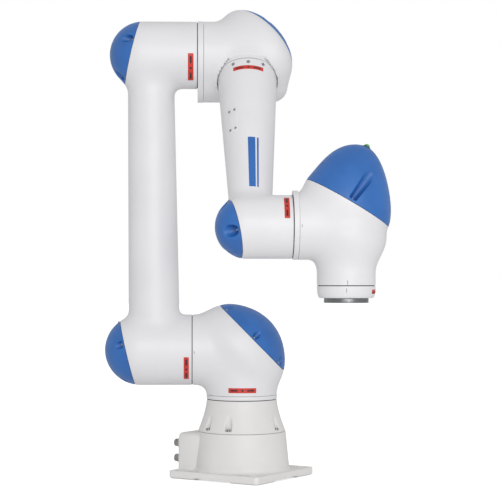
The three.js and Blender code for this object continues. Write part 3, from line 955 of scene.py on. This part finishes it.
def add_base():
    top = PLATE_THICK + 4
    cutters = []
    for x in (-BOLT, BOLT):
        for y in (-BOLT, BOLT):
            cutters += [moved(drill(6.6, -3, top), x, y), moved(drill(11, PLATE_THICK - 5, top), x, y)]
    for side in (-1, 1):
        slot = rounded_rectangle(42, 12, 5.9)
        cutters.append(moved(prism(slot, 6, top, 0.4), side * 72, -108))
        cutters.append(moved(drill(4, -3, top), side * (BOLT + 9), side * (28 - BOLT)))
    along, across, up = RELIEF
    for turn in range(4):
        notch = moved(prism(rounded_rectangle(across, along, 8), -up, up, 0.4), PLATE_SIDE / 2)
        cutters.append(moved(notch, matrix=Matrix.Rotation(radians(90 * turn), 4, "Z")))
    make("base_plate", carved(filled(base_plate()), cutters), ON_BASE, WARM, ("base_casting",), crease=38)
    make("connector_box", box_slice(0, BOX_END, -48, 1.4), ON_BASE, WARM)
    base_collar()
    make("connector_panel_gasket", box_slice(2.2, PANEL_FACE + 1.9, BOX_END + 1.0, 0.3), ON_BASE, RUBBER_AND_GAP_SHADE)
    panel = box_slice(1.0, PANEL_FACE, PANEL_FACE + 2.2, 0.7)
    make("connector_plate", panel, ON_BASE, WHITE, ("connector_panel",))
    screws = [moved(cap_screw(2.8, 2.2), PANEL_FACE + 0.3, y, z, TO_LEFT)
              for y, high in ((-78, 88), (-26, 93), (26, 93), (78, 88)) for z in (26, high)]
    make("connector_plate_screws", together(screws), ON_BASE, SCREW_STEEL)
    for name, (radius, y, z, length) in PORTS.items():
        kind = hex_fitting if name == "air_fitting" else connector
        make(name + "_body", moved(kind(radius, length), PANEL_FACE - 0.2, y, z), ON_BASE, NICKEL, (name,))


# ---- housings ----

CORNER_SCREWS = (-62, 0, 55, 118, 180, 235)  # degrees round the rim of a corner cover
CORNER = Plane(23, 27.5, 45.5)
ELBOW_CORNER = (108.5, 90, 54.5, 96, 0)  # half length, half width, above, below, drop
SHOULDER_CORNER = (119, 95, 93, 53, 38)
CORNER_SKEW = -0.04
SHOULDER_FILLETS = (30, 20)  # between the tubes, and between them and the corner


def corner_bulge(p, size):
    """The egg at a corner; its widest section lies a drop below the corner plane."""
    along, across, above, below, drop = size
    e, y, n = CORNER.local(p)
    e = e - CORNER_SKEW * np.maximum(n, 0)
    n = n + drop
    return swollen((e, y, n), (along, across, np.where(n > 0, above, below)))


def shoulder_field(p):
    tubes = blend_join(pipe_x(p, SHOULDER_RADIUS, 0, SHOULDER_RADIUS, side=-1),
                       pipe_down(p, SWIVEL_RADIUS), SHOULDER_FILLETS[0])
    return blend_join(tubes, corner_bulge(p, SHOULDER_CORNER), SHOULDER_FILLETS[1])


def add_shoulder():
    drop = SWIVEL_PLANE - SHOULDER_HEIGHT
    planes = [CORNER.moved(-SEAM_GAP), plane_x(SHOULDER_PLANE + JOINT_GAP, -1), plane_z(drop + 10.6, -1)]
    casting("shoulder_shell", shoulder_field, (-122, -106, drop + 4), (124, 106, 122), planes, ON_SWIVEL,
            "shoulder_housing")
    ring("swivel_ring_shell", SWIVEL_RADIUS + 0.4, 76.2, drop + JOINT_GAP, drop + 10, ON_SWIVEL,
         ("swivel_ring",))
    cover("shoulder_corner_cover", shoulder_field, (-66, -106, -62), (124, 106, 122), CORNER, ON_SWIVEL,
          "shoulder_cover", round_scoops(CORNER_SCREWS, 82, 101), 7)
    seal_and_gap_shade("shoulder_seal_and_gap_shade", SHOULDER_RADIUS, SHOULDER_PLANE, ON_SWIVEL, "x")
    label("swivel_label", round_z(-92, SWIVEL_RADIUS, -1), shoulder_field, 66, 11.5, ON_SWIVEL)
    tick("shoulder_tick", round_x(SHOULDER_PLANE + 5, SHOULDER_RADIUS, -2), shoulder_field, ON_SWIVEL)


LOWER_CUT = Plane(-271.5, 0, -103.5)
UPPER_CUT = Plane(-258.5, UPPER_REACH + 8, -76.5)
LOWER_DOME_X = -238
LOWER_DOME_BULGE = 86
UPPER_DOME_X = -234
UPPER_DOME_BULGE = 80
TUBE_FOOT_X = -206.8
TUBE_HEAD_X = -217
TUBE_FOOT_RADIUS = 60.8
TUBE_HEAD_RADIUS = 54.2
TUBE_FILLETS = (16, 22)  # where the tube meets the lower and the upper barrel


def lower_arm_field(p):
    foot = pipe_x(p, SHOULDER_RADIUS, LOWER_DOME_X, LOWER_DOME_BULGE)
    head = pipe_x(p, ELBOW_RADIUS, UPPER_DOME_X, UPPER_DOME_BULGE, UPPER_REACH)
    share = p[:, 2] / UPPER_REACH
    radius = TUBE_FOOT_RADIUS + (TUBE_HEAD_RADIUS - TUBE_FOOT_RADIUS) * share
    tube = cone(p, radius, TUBE_FOOT_X + (TUBE_HEAD_X - TUBE_FOOT_X) * share)
    tube = np.maximum(tube, np.maximum(-p[:, 2], p[:, 2] - UPPER_REACH))
    return blend_join(blend_join(foot, tube, TUBE_FILLETS[0]), head, TUBE_FILLETS[1])


def add_lower_arm():
    lower_end = plane_x(SHOULDER_PLANE - JOINT_GAP, 1)
    lower_end.below = UPPER_REACH / 2
    planes = [LOWER_CUT.moved(-SEAM_GAP), UPPER_CUT.moved(-SEAM_GAP),
              plane_x(ELBOW_PLANE - JOINT_GAP, 1), lower_end]
    casting("lower_arm_shell", lower_arm_field, (-340, -92, -92), (-98, 92, UPPER_REACH + 92), planes,
            ON_LOWER_ARM, "lower_arm_casting")
    cover("shoulder_end_dome", lower_arm_field, (-332, -90, -90), (-232, 90, 90), LOWER_CUT, ON_LOWER_ARM,
          "shoulder_end_cover", round_scoops((14, 104, 194, 284), 68), 8.5, 5)
    cover("elbow_end_dome", lower_arm_field, (-322, -88, UPPER_REACH - 88), (-232, 88, UPPER_REACH + 88),
          UPPER_CUT, ON_LOWER_ARM, "elbow_end_cover", round_scoops((20, 110, 200, 290), 65, offset=-4), 9.5)
    at_elbow = (frame_at(0, 0, SHOULDER_HEIGHT + UPPER_REACH), "lower_arm")
    seal_and_gap_shade("elbow_seal_and_gap_shade", ELBOW_RADIUS, ELBOW_PLANE, at_elbow, "x")
    label("shoulder_label", round_x(-131.5, SHOULDER_RADIUS, -31), lower_arm_field, 62, 12, ON_LOWER_ARM)
    label("elbow_label", round_x(-121.8, ELBOW_RADIUS, -30, UPPER_REACH), lower_arm_field, 70, 13,
          ON_LOWER_ARM)


ELBOW_SEAM = 17  # from the plane through the swollen back up to the cover
BARREL_RADIUS = 80
BARREL_SHIFT = (40, -7)
BARREL_END = 103
BARREL_ROUND = 45
BARREL_TRIM = (8, 25)  # how far above the corner plane the barrel ends, and how softly
ELBOW_FILLETS = (20, 15)  # from the corner to the barrel, and from both to the forearm's boss


def elbow_field(p):
    _, _, n = CORNER.local(p)
    x, y, z = p.T
    length = math.hypot(*BARREL_SHIFT)
    share = np.clip((y * BARREL_SHIFT[0] + z * BARREL_SHIFT[1]) / length ** 2, 0, 1)
    across = np.hypot(y - share * BARREL_SHIFT[0], z - share * BARREL_SHIFT[1]) - BARREL_RADIUS + BARREL_ROUND
    past = x - BARREL_END + BARREL_ROUND
    barrel = np.hypot(np.maximum(across, 0), np.maximum(past, 0)) + np.minimum(np.maximum(across, past), 0)
    barrel = blend_cut(barrel - BARREL_ROUND, BARREL_TRIM[0] - n, BARREL_TRIM[1])
    boss = pipe_down(p, ROLL_RADIUS)
    whole = blend_join(corner_bulge(p, ELBOW_CORNER), barrel, ELBOW_FILLETS[0])
    whole = blend_join(whole, boss, ELBOW_FILLETS[1])
    pocket = np.maximum(np.hypot(x, y) - ROLL_RADIUS - 1.3, z + 60)
    return blend_cut(whole, pocket, 2)


def add_elbow():
    left = ELBOW_PLANE - FOREARM_X
    seam = CORNER.moved(ELBOW_SEAM)
    planes = [seam.moved(-SEAM_GAP), plane_x(left + 14.8, -1)]
    casting("elbow_shell", elbow_field, (left + 6, -98, -112), (124, 130, 124), planes, ON_ELBOW,
            "elbow_housing")
    ring("elbow_ring_shell", BARREL_RADIUS + 0.6, 72, left + JOINT_GAP, left + 14.2, ON_ELBOW,
         ("elbow_ring",), "x", oval(120, BARREL_SHIFT))
    cover("elbow_corner_cover", elbow_field, (-56, -96, -52), (124, 130, 124), seam, ON_ELBOW,
          "elbow_cover", round_scoops(CORNER_SCREWS, 70, 89), 10)
    ring("roll_ring", ROLL_RADIUS + 0.3, 62, ROLL_PLANE + JOINT_GAP, ROLL_PLANE + 12, ON_ELBOW)
    seal_and_gap_shade("forearm_seal_and_gap_shade", ROLL_RADIUS, ROLL_PLANE, ON_ELBOW, across=3.5)


FOREARM_TAPER = 0.0596
PORT_TURN = -39
PORT_MIDDLE = -238
WRIST_CUT = Plane(-36.5, -FORE_REACH, -103.5)
WRIST_DOME_X = -10
FOREARM_FILLET = 20


def forearm_field(p):
    radius = ROLL_RADIUS + FOREARM_TAPER * (p[:, 2] - ROLL_PLANE)
    tube = np.maximum(cone(p, radius), -FORE_REACH - p[:, 2])
    side = pipe_x(p, WRIST_RADIUS, WRIST_DOME_X, WRIST_RADIUS, -FORE_REACH)
    return blend_join(tube, side, FOREARM_FILLET)


def add_forearm():
    planes = [plane_z(ROLL_PLANE - JOINT_GAP, 1), WRIST_CUT.moved(-SEAM_GAP),
              plane_x(JOINT["wrist_bend"][0] - FOREARM_X - JOINT_GAP, 1)]
    casting("forearm_shell", forearm_field, (-86, -78, -FORE_REACH - 78), (98, 78, ROLL_PLANE + 8), planes,
            ON_FOREARM, "forearm_casting")
    cover("forearm_end_dome", forearm_field, (-86, -78, -FORE_REACH - 78), (-8, 78, -FORE_REACH + 78),
          WRIST_CUT, ON_FOREARM, "forearm_end_cover", round_scoops((-42, 48, 138, 228), 54), 13)
    screws = [moved(cap_screw(4.2, 2.0), matrix=seated(polar(68, turn, ROLL_PLANE - 12), forearm_field, -0.8))
              for turn in (-120, -90, -60, 0, 60, 90, 120, 180)]
    make("forearm_collar_screws", together(screws), ON_FOREARM, SCREW_STEEL)
    way = seated(polar(60, PORT_TURN - 90, PORT_MIDDLE), forearm_field, -2.5)
    plate = moved(prism(rounded_rectangle(22, 68, 5), 0, 3.0, 0.9), matrix=way)
    make("forearm_port_plate", plate, ON_FOREARM, WHITE, ("forearm_port_cover",))
    screws = [moved(cap_screw(2.9, 1.9), matrix=way @ Matrix.Translation((x, y, 2.6)))
              for x in (-7.5, 7.5) for y in (-26, 26)]
    make("forearm_port_screws", together(screws), ON_FOREARM, SCREW_STEEL)
    for name, angle, width in (("accent_stripe", 3.5, 16), ("accent_line", 18, 4)):
        to_surface = round_z(-361, 53, angle, length_up=True)
        stripe = rounded_rectangle(134, width, 1.4, steps=3)
        make(name, sticker(stripe, to_surface, forearm_field, 0.2), ON_FOREARM, BLUE, crease=None)
    label("forearm_label", round_z(ROLL_PLANE - 27.5, 68.5, 0), forearm_field, 73, 10.5, ON_FOREARM)
    label("wrist_label", round_x(75.5, WRIST_RADIUS, 4.6, -FORE_REACH), forearm_field, 60, 12, ON_FOREARM)


# ---- wrist ----

CROWN = Plane(2.7, 52.1, 30.3)
CROWN_ALONG = 104
CROWN_ACROSS = 85
CROWN_TOP = 130
CROWN_BACK = 104
CROWN_LEAN = 22  # how far the top leans along the rim, towards the wrist joint
PIPE_RADIUS = 72
CROWN_POWER = (1.45, 0.27)  # how full the crown's outline is at its rim, and how much fuller at its top
BELLY_PLACE = (6, 0, -21)
BELLY_SIZE = (82.6, 84, 76)
HEAD_FILLETS = (8, 22)  # from the crown to the belly, and from both to the two pipes
LAMP_PLACE = (47, 0, 179)
LAMP_LEAN = 28


def crown_shape(p):
    """Zero on the pointed crown of the wrist above its rim, and on a half ellipsoid below it."""
    e, y, n = CROWN.local(p)
    above = n > 0
    up = np.clip(n / CROWN_TOP, 0, 1)
    lean = CROWN_LEAN * up * up * (3 - 2 * up)
    around = np.hypot((e + lean) / CROWN_ALONG, y / CROWN_ACROSS)
    height = np.abs(n) / np.where(above, CROWN_TOP, CROWN_BACK)
    power = np.where(above, CROWN_POWER[0] + CROWN_POWER[1] * up, 2.0)
    return (around ** power + height ** power) ** (1 / power) - 1


def head_field(p):
    steepness = np.maximum(np.linalg.norm(slope(crown_shape, p, 0.2), axis=1), 0.005)
    crown = crown_shape(p) / steepness
    belly = swollen((p - BELLY_PLACE).T, BELLY_SIZE)
    whole = blend_join(crown, belly, HEAD_FILLETS[0])
    whole = blend_join(whole, pipe_x(p, PIPE_RADIUS, 0, PIPE_RADIUS, side=-1), HEAD_FILLETS[1])
    return blend_join(whole, pipe_down(p, TOOL_RADIUS), HEAD_FILLETS[1])


def add_wrist():
    planes = [CROWN.moved(-SEAM_GAP), plane_x(WRIST_PLANE + 12.6, -1), plane_z(TOOL_PLANE + JOINT_GAP, -1)]
    casting("wrist_shell", head_field, (WRIST_PLANE + 6, -96, TOOL_PLANE - 6), (112, 96, 118), planes,
            ON_WRIST, "wrist_housing")
    ring("wrist_ring_shell", 76, 66, WRIST_PLANE + JOINT_GAP, WRIST_PLANE + 12, ON_WRIST, ("wrist_ring",),
         "x", z=4)
    cover("wrist_crown_cover", head_field, (-100, -96, -10), (114, 96, 190), CROWN, ON_WRIST,
          "wrist_cover", [(0, -67), (0, 67)], 8, 6, groove)
    seal_and_gap_shade("wrist_seal_and_gap_shade", WRIST_RADIUS, WRIST_PLANE, ON_WRIST, "x")
    seal_and_gap_shade("tool_seal_and_gap_shade", TOOL_RADIUS, TOOL_PLANE, ON_WRIST, across=3.5)
    tick("wrist_tick", round_x(WRIST_PLANE + 17, PIPE_RADIUS, 0), head_field, ON_WRIST)
    tick("tool_tick", round_z(TOOL_PLANE + 7, TOOL_RADIUS, -3, length_up=True), head_field, ON_WRIST, 4.5)
    lamp_spot = settle(np.array([LAMP_PLACE], float), head_field, -1.5)[0]
    lamp_way = facing(lamp_spot, Plane(0, 0, LAMP_LEAN).normal)
    dome = [(6.2 * cos(a), 3 + 4.6 * sin(a)) for a in np.arange(8) * pi / 16]
    lamp = turned([(0, -6), (6.2, -6), *dome, (0, 7.6)], circle(40))
    make("lamp_lens", moved(lamp, matrix=lamp_way), ON_WRIST, GREEN, ("status_lamp",), crease=40)
    bezel = softened([(6.5, -2), (8.6, -2), (8.6, 2.0), (6.5, 2.6)], 0.5)
    make("lamp_bezel", moved(turned(bezel, circle(48)), matrix=lamp_way), ON_WRIST, DARK)


COLLAR_FOOT = -156
COLLAR_WAIST = -144
WAIST_RADIUS = 63.6
WRAP_RADIUS = 63.8  # of the label and the tick round the collar
FLANGE_FACE = -166.4
FLANGE_HOLES = 40  # the radius of the circle of tapped holes


def collar_field(p):
    heights = (COLLAR_FOOT, COLLAR_WAIST, TOOL_PLANE)
    return cone(p, np.interp(p[:, 2], heights, (59, WAIST_RADIUS, TOOL_RADIUS)))


def add_tool_flange():
    top = TOOL_PLANE - JOINT_GAP
    outline = [(56, top), (TOOL_RADIUS, top), (WAIST_RADIUS, COLLAR_WAIST), (61.6, -152), (59, COLLAR_FOOT),
               (22, COLLAR_FOOT), (22, -152), (53, -152)]
    make("flange_collar_shell", turned(softened(outline, 1.4)), ON_TOOL, WHITE, ("flange_collar",))
    upper = COLLAR_FOOT - 0.3
    plate = [(12, upper), (49, upper), (49, FLANGE_FACE), (31.5, FLANGE_FACE), (31.5, -160), (12, -160)]
    disc = turned(softened(plate, 0.7))
    holes = [moved(drill(radius, FLANGE_FACE - 3.6, high, 24), *polar(FLANGE_HOLES, turn))
             for turn in np.arange(22.5, 360, 45) for radius, high in ((2.9, -157), (3.6, FLANGE_FACE + 1))]
    make("flange_disc", carved(disc, holes), ON_TOOL, STEEL, ("tool_flange",))
    label("tool_label", round_z(COLLAR_WAIST, WRAP_RADIUS, 78), collar_field, 50, 13, ON_TOOL)
    to_surface = round_z(COLLAR_WAIST + 5, WRAP_RADIUS, -5, length_up=True)
    tick("flange_tick", to_surface, collar_field, ON_TOOL, 4.5)


# ---- hidden drives ----

def finish_drives():
    """The drives and flanges inside keep their CAD shapes and get their own materials."""
    kinds = (("_gear", GEAR), ("_motor", COPPER), ("_brake", DARK), ("_control_board", BOARD),
             ("_output_flange", STEEL), ("_terminal_board", BOARD))
    for name, node in frame["nodes"].items():
        for ending, material in kinds:
            if name.endswith(ending) and not node.hide_render:
                node.data.materials.clear()
                node.data.materials.append(material)


# ---- studio ----

def seen_directly(tree, first, last):
    """A value that is first for light paths and last for what the picture shows directly."""
    ray = tree.nodes.new("ShaderNodeLightPath")
    choice = tree.nodes.new("ShaderNodeMapRange")
    choice.inputs["To Min"].default_value = first
    choice.inputs["To Max"].default_value = last
    tree.links.new(ray.outputs["Is Camera Ray"], choice.inputs["Value"])
    return choice.outputs["Result"]


FLOOR_SIDE = 60
FLOOR_GLOW = 0.60
SKY_LIGHT = 0.61
LIGHT_PLACE = (0.5, -4.2, 1.4)
LIGHT_AIM = Vector((0, 0, 0.55))
LIGHT_SIZE = (3.4, 2.6)
LIGHT_POWER = 72
CAMERA_PLACE = (-0.1175, -3.567, 0.458)
CAMERA_RISE = 1.26  # degrees above level
CAMERA_TURN = -2.2  # degrees round from the Y axis


def pale_floor():
    """Matt white paper, lit from below like a light table where the picture shows it."""
    n = Nodes("studio_floor")
    tone = n.mix(n.noise(3, 2), (0.90, 0.90, 0.90), (0.92, 0.92, 0.92))
    glow = seen_directly(n.tree, 0.0, FLOOR_GLOW)
    fibres = n.bump(n.noise(600, 2), 0.05, 0.0002)
    return n.finish(tone, n.spread(40, 3, 0.65, 0.75), fibres, Emission_Strength=glow,
                    Emission_Color=(1, 1, 1))


def add_floor():
    corners = FLOOR_SIDE / 2 * np.array([(-1, -1, 0), (1, -1, 0), (1, 1, 0), (-1, 1, 0)])
    mesh = new_mesh("studio_floor", corners, [(0, 1, 2, 3)])
    mesh.materials.append(pale_floor())
    floor = new_object("studio_floor", mesh)
    floor.location = (0, 0, -0.0006)


def add_light():
    """A wide softbox in front, aimed at the middle of the arm."""
    data = bpy.data.lights.new("front_softbox", "AREA")
    data.shape, data.energy = "RECTANGLE", LIGHT_POWER
    data.size, data.size_y = LIGHT_SIZE
    lamp = new_object("front_softbox", data)
    lamp.location = LIGHT_PLACE
    lamp.rotation_euler = (LIGHT_AIM - lamp.location).to_track_quat("-Z", "Y").to_euler()


def add_studio():
    add_floor()
    world = bpy.data.worlds.new("studio")
    world.use_nodes = True
    sky = world.node_tree.nodes["Background"]
    sky.inputs["Color"].default_value = (1, 1, 1, 1)
    world.node_tree.links.new(seen_directly(world.node_tree, SKY_LIGHT, 1.0), sky.inputs["Strength"])
    bpy.context.scene.world = world
    bpy.context.scene.view_settings.view_transform = "Standard"
    add_light()


def add_camera():
    data = bpy.data.cameras.new("camera")
    data.lens, data.sensor_width = 108, 36
    camera = new_object("camera", data)
    camera.location = CAMERA_PLACE
    camera.rotation_euler = (radians(90 + CAMERA_RISE), 0, radians(CAMERA_TURN))
    bpy.context.scene.camera = camera


add_camera()
add_studio()
add_base()
add_shoulder()
add_lower_arm()
add_elbow()
add_forearm()
add_wrist()
add_tool_flange()
finish_drives()
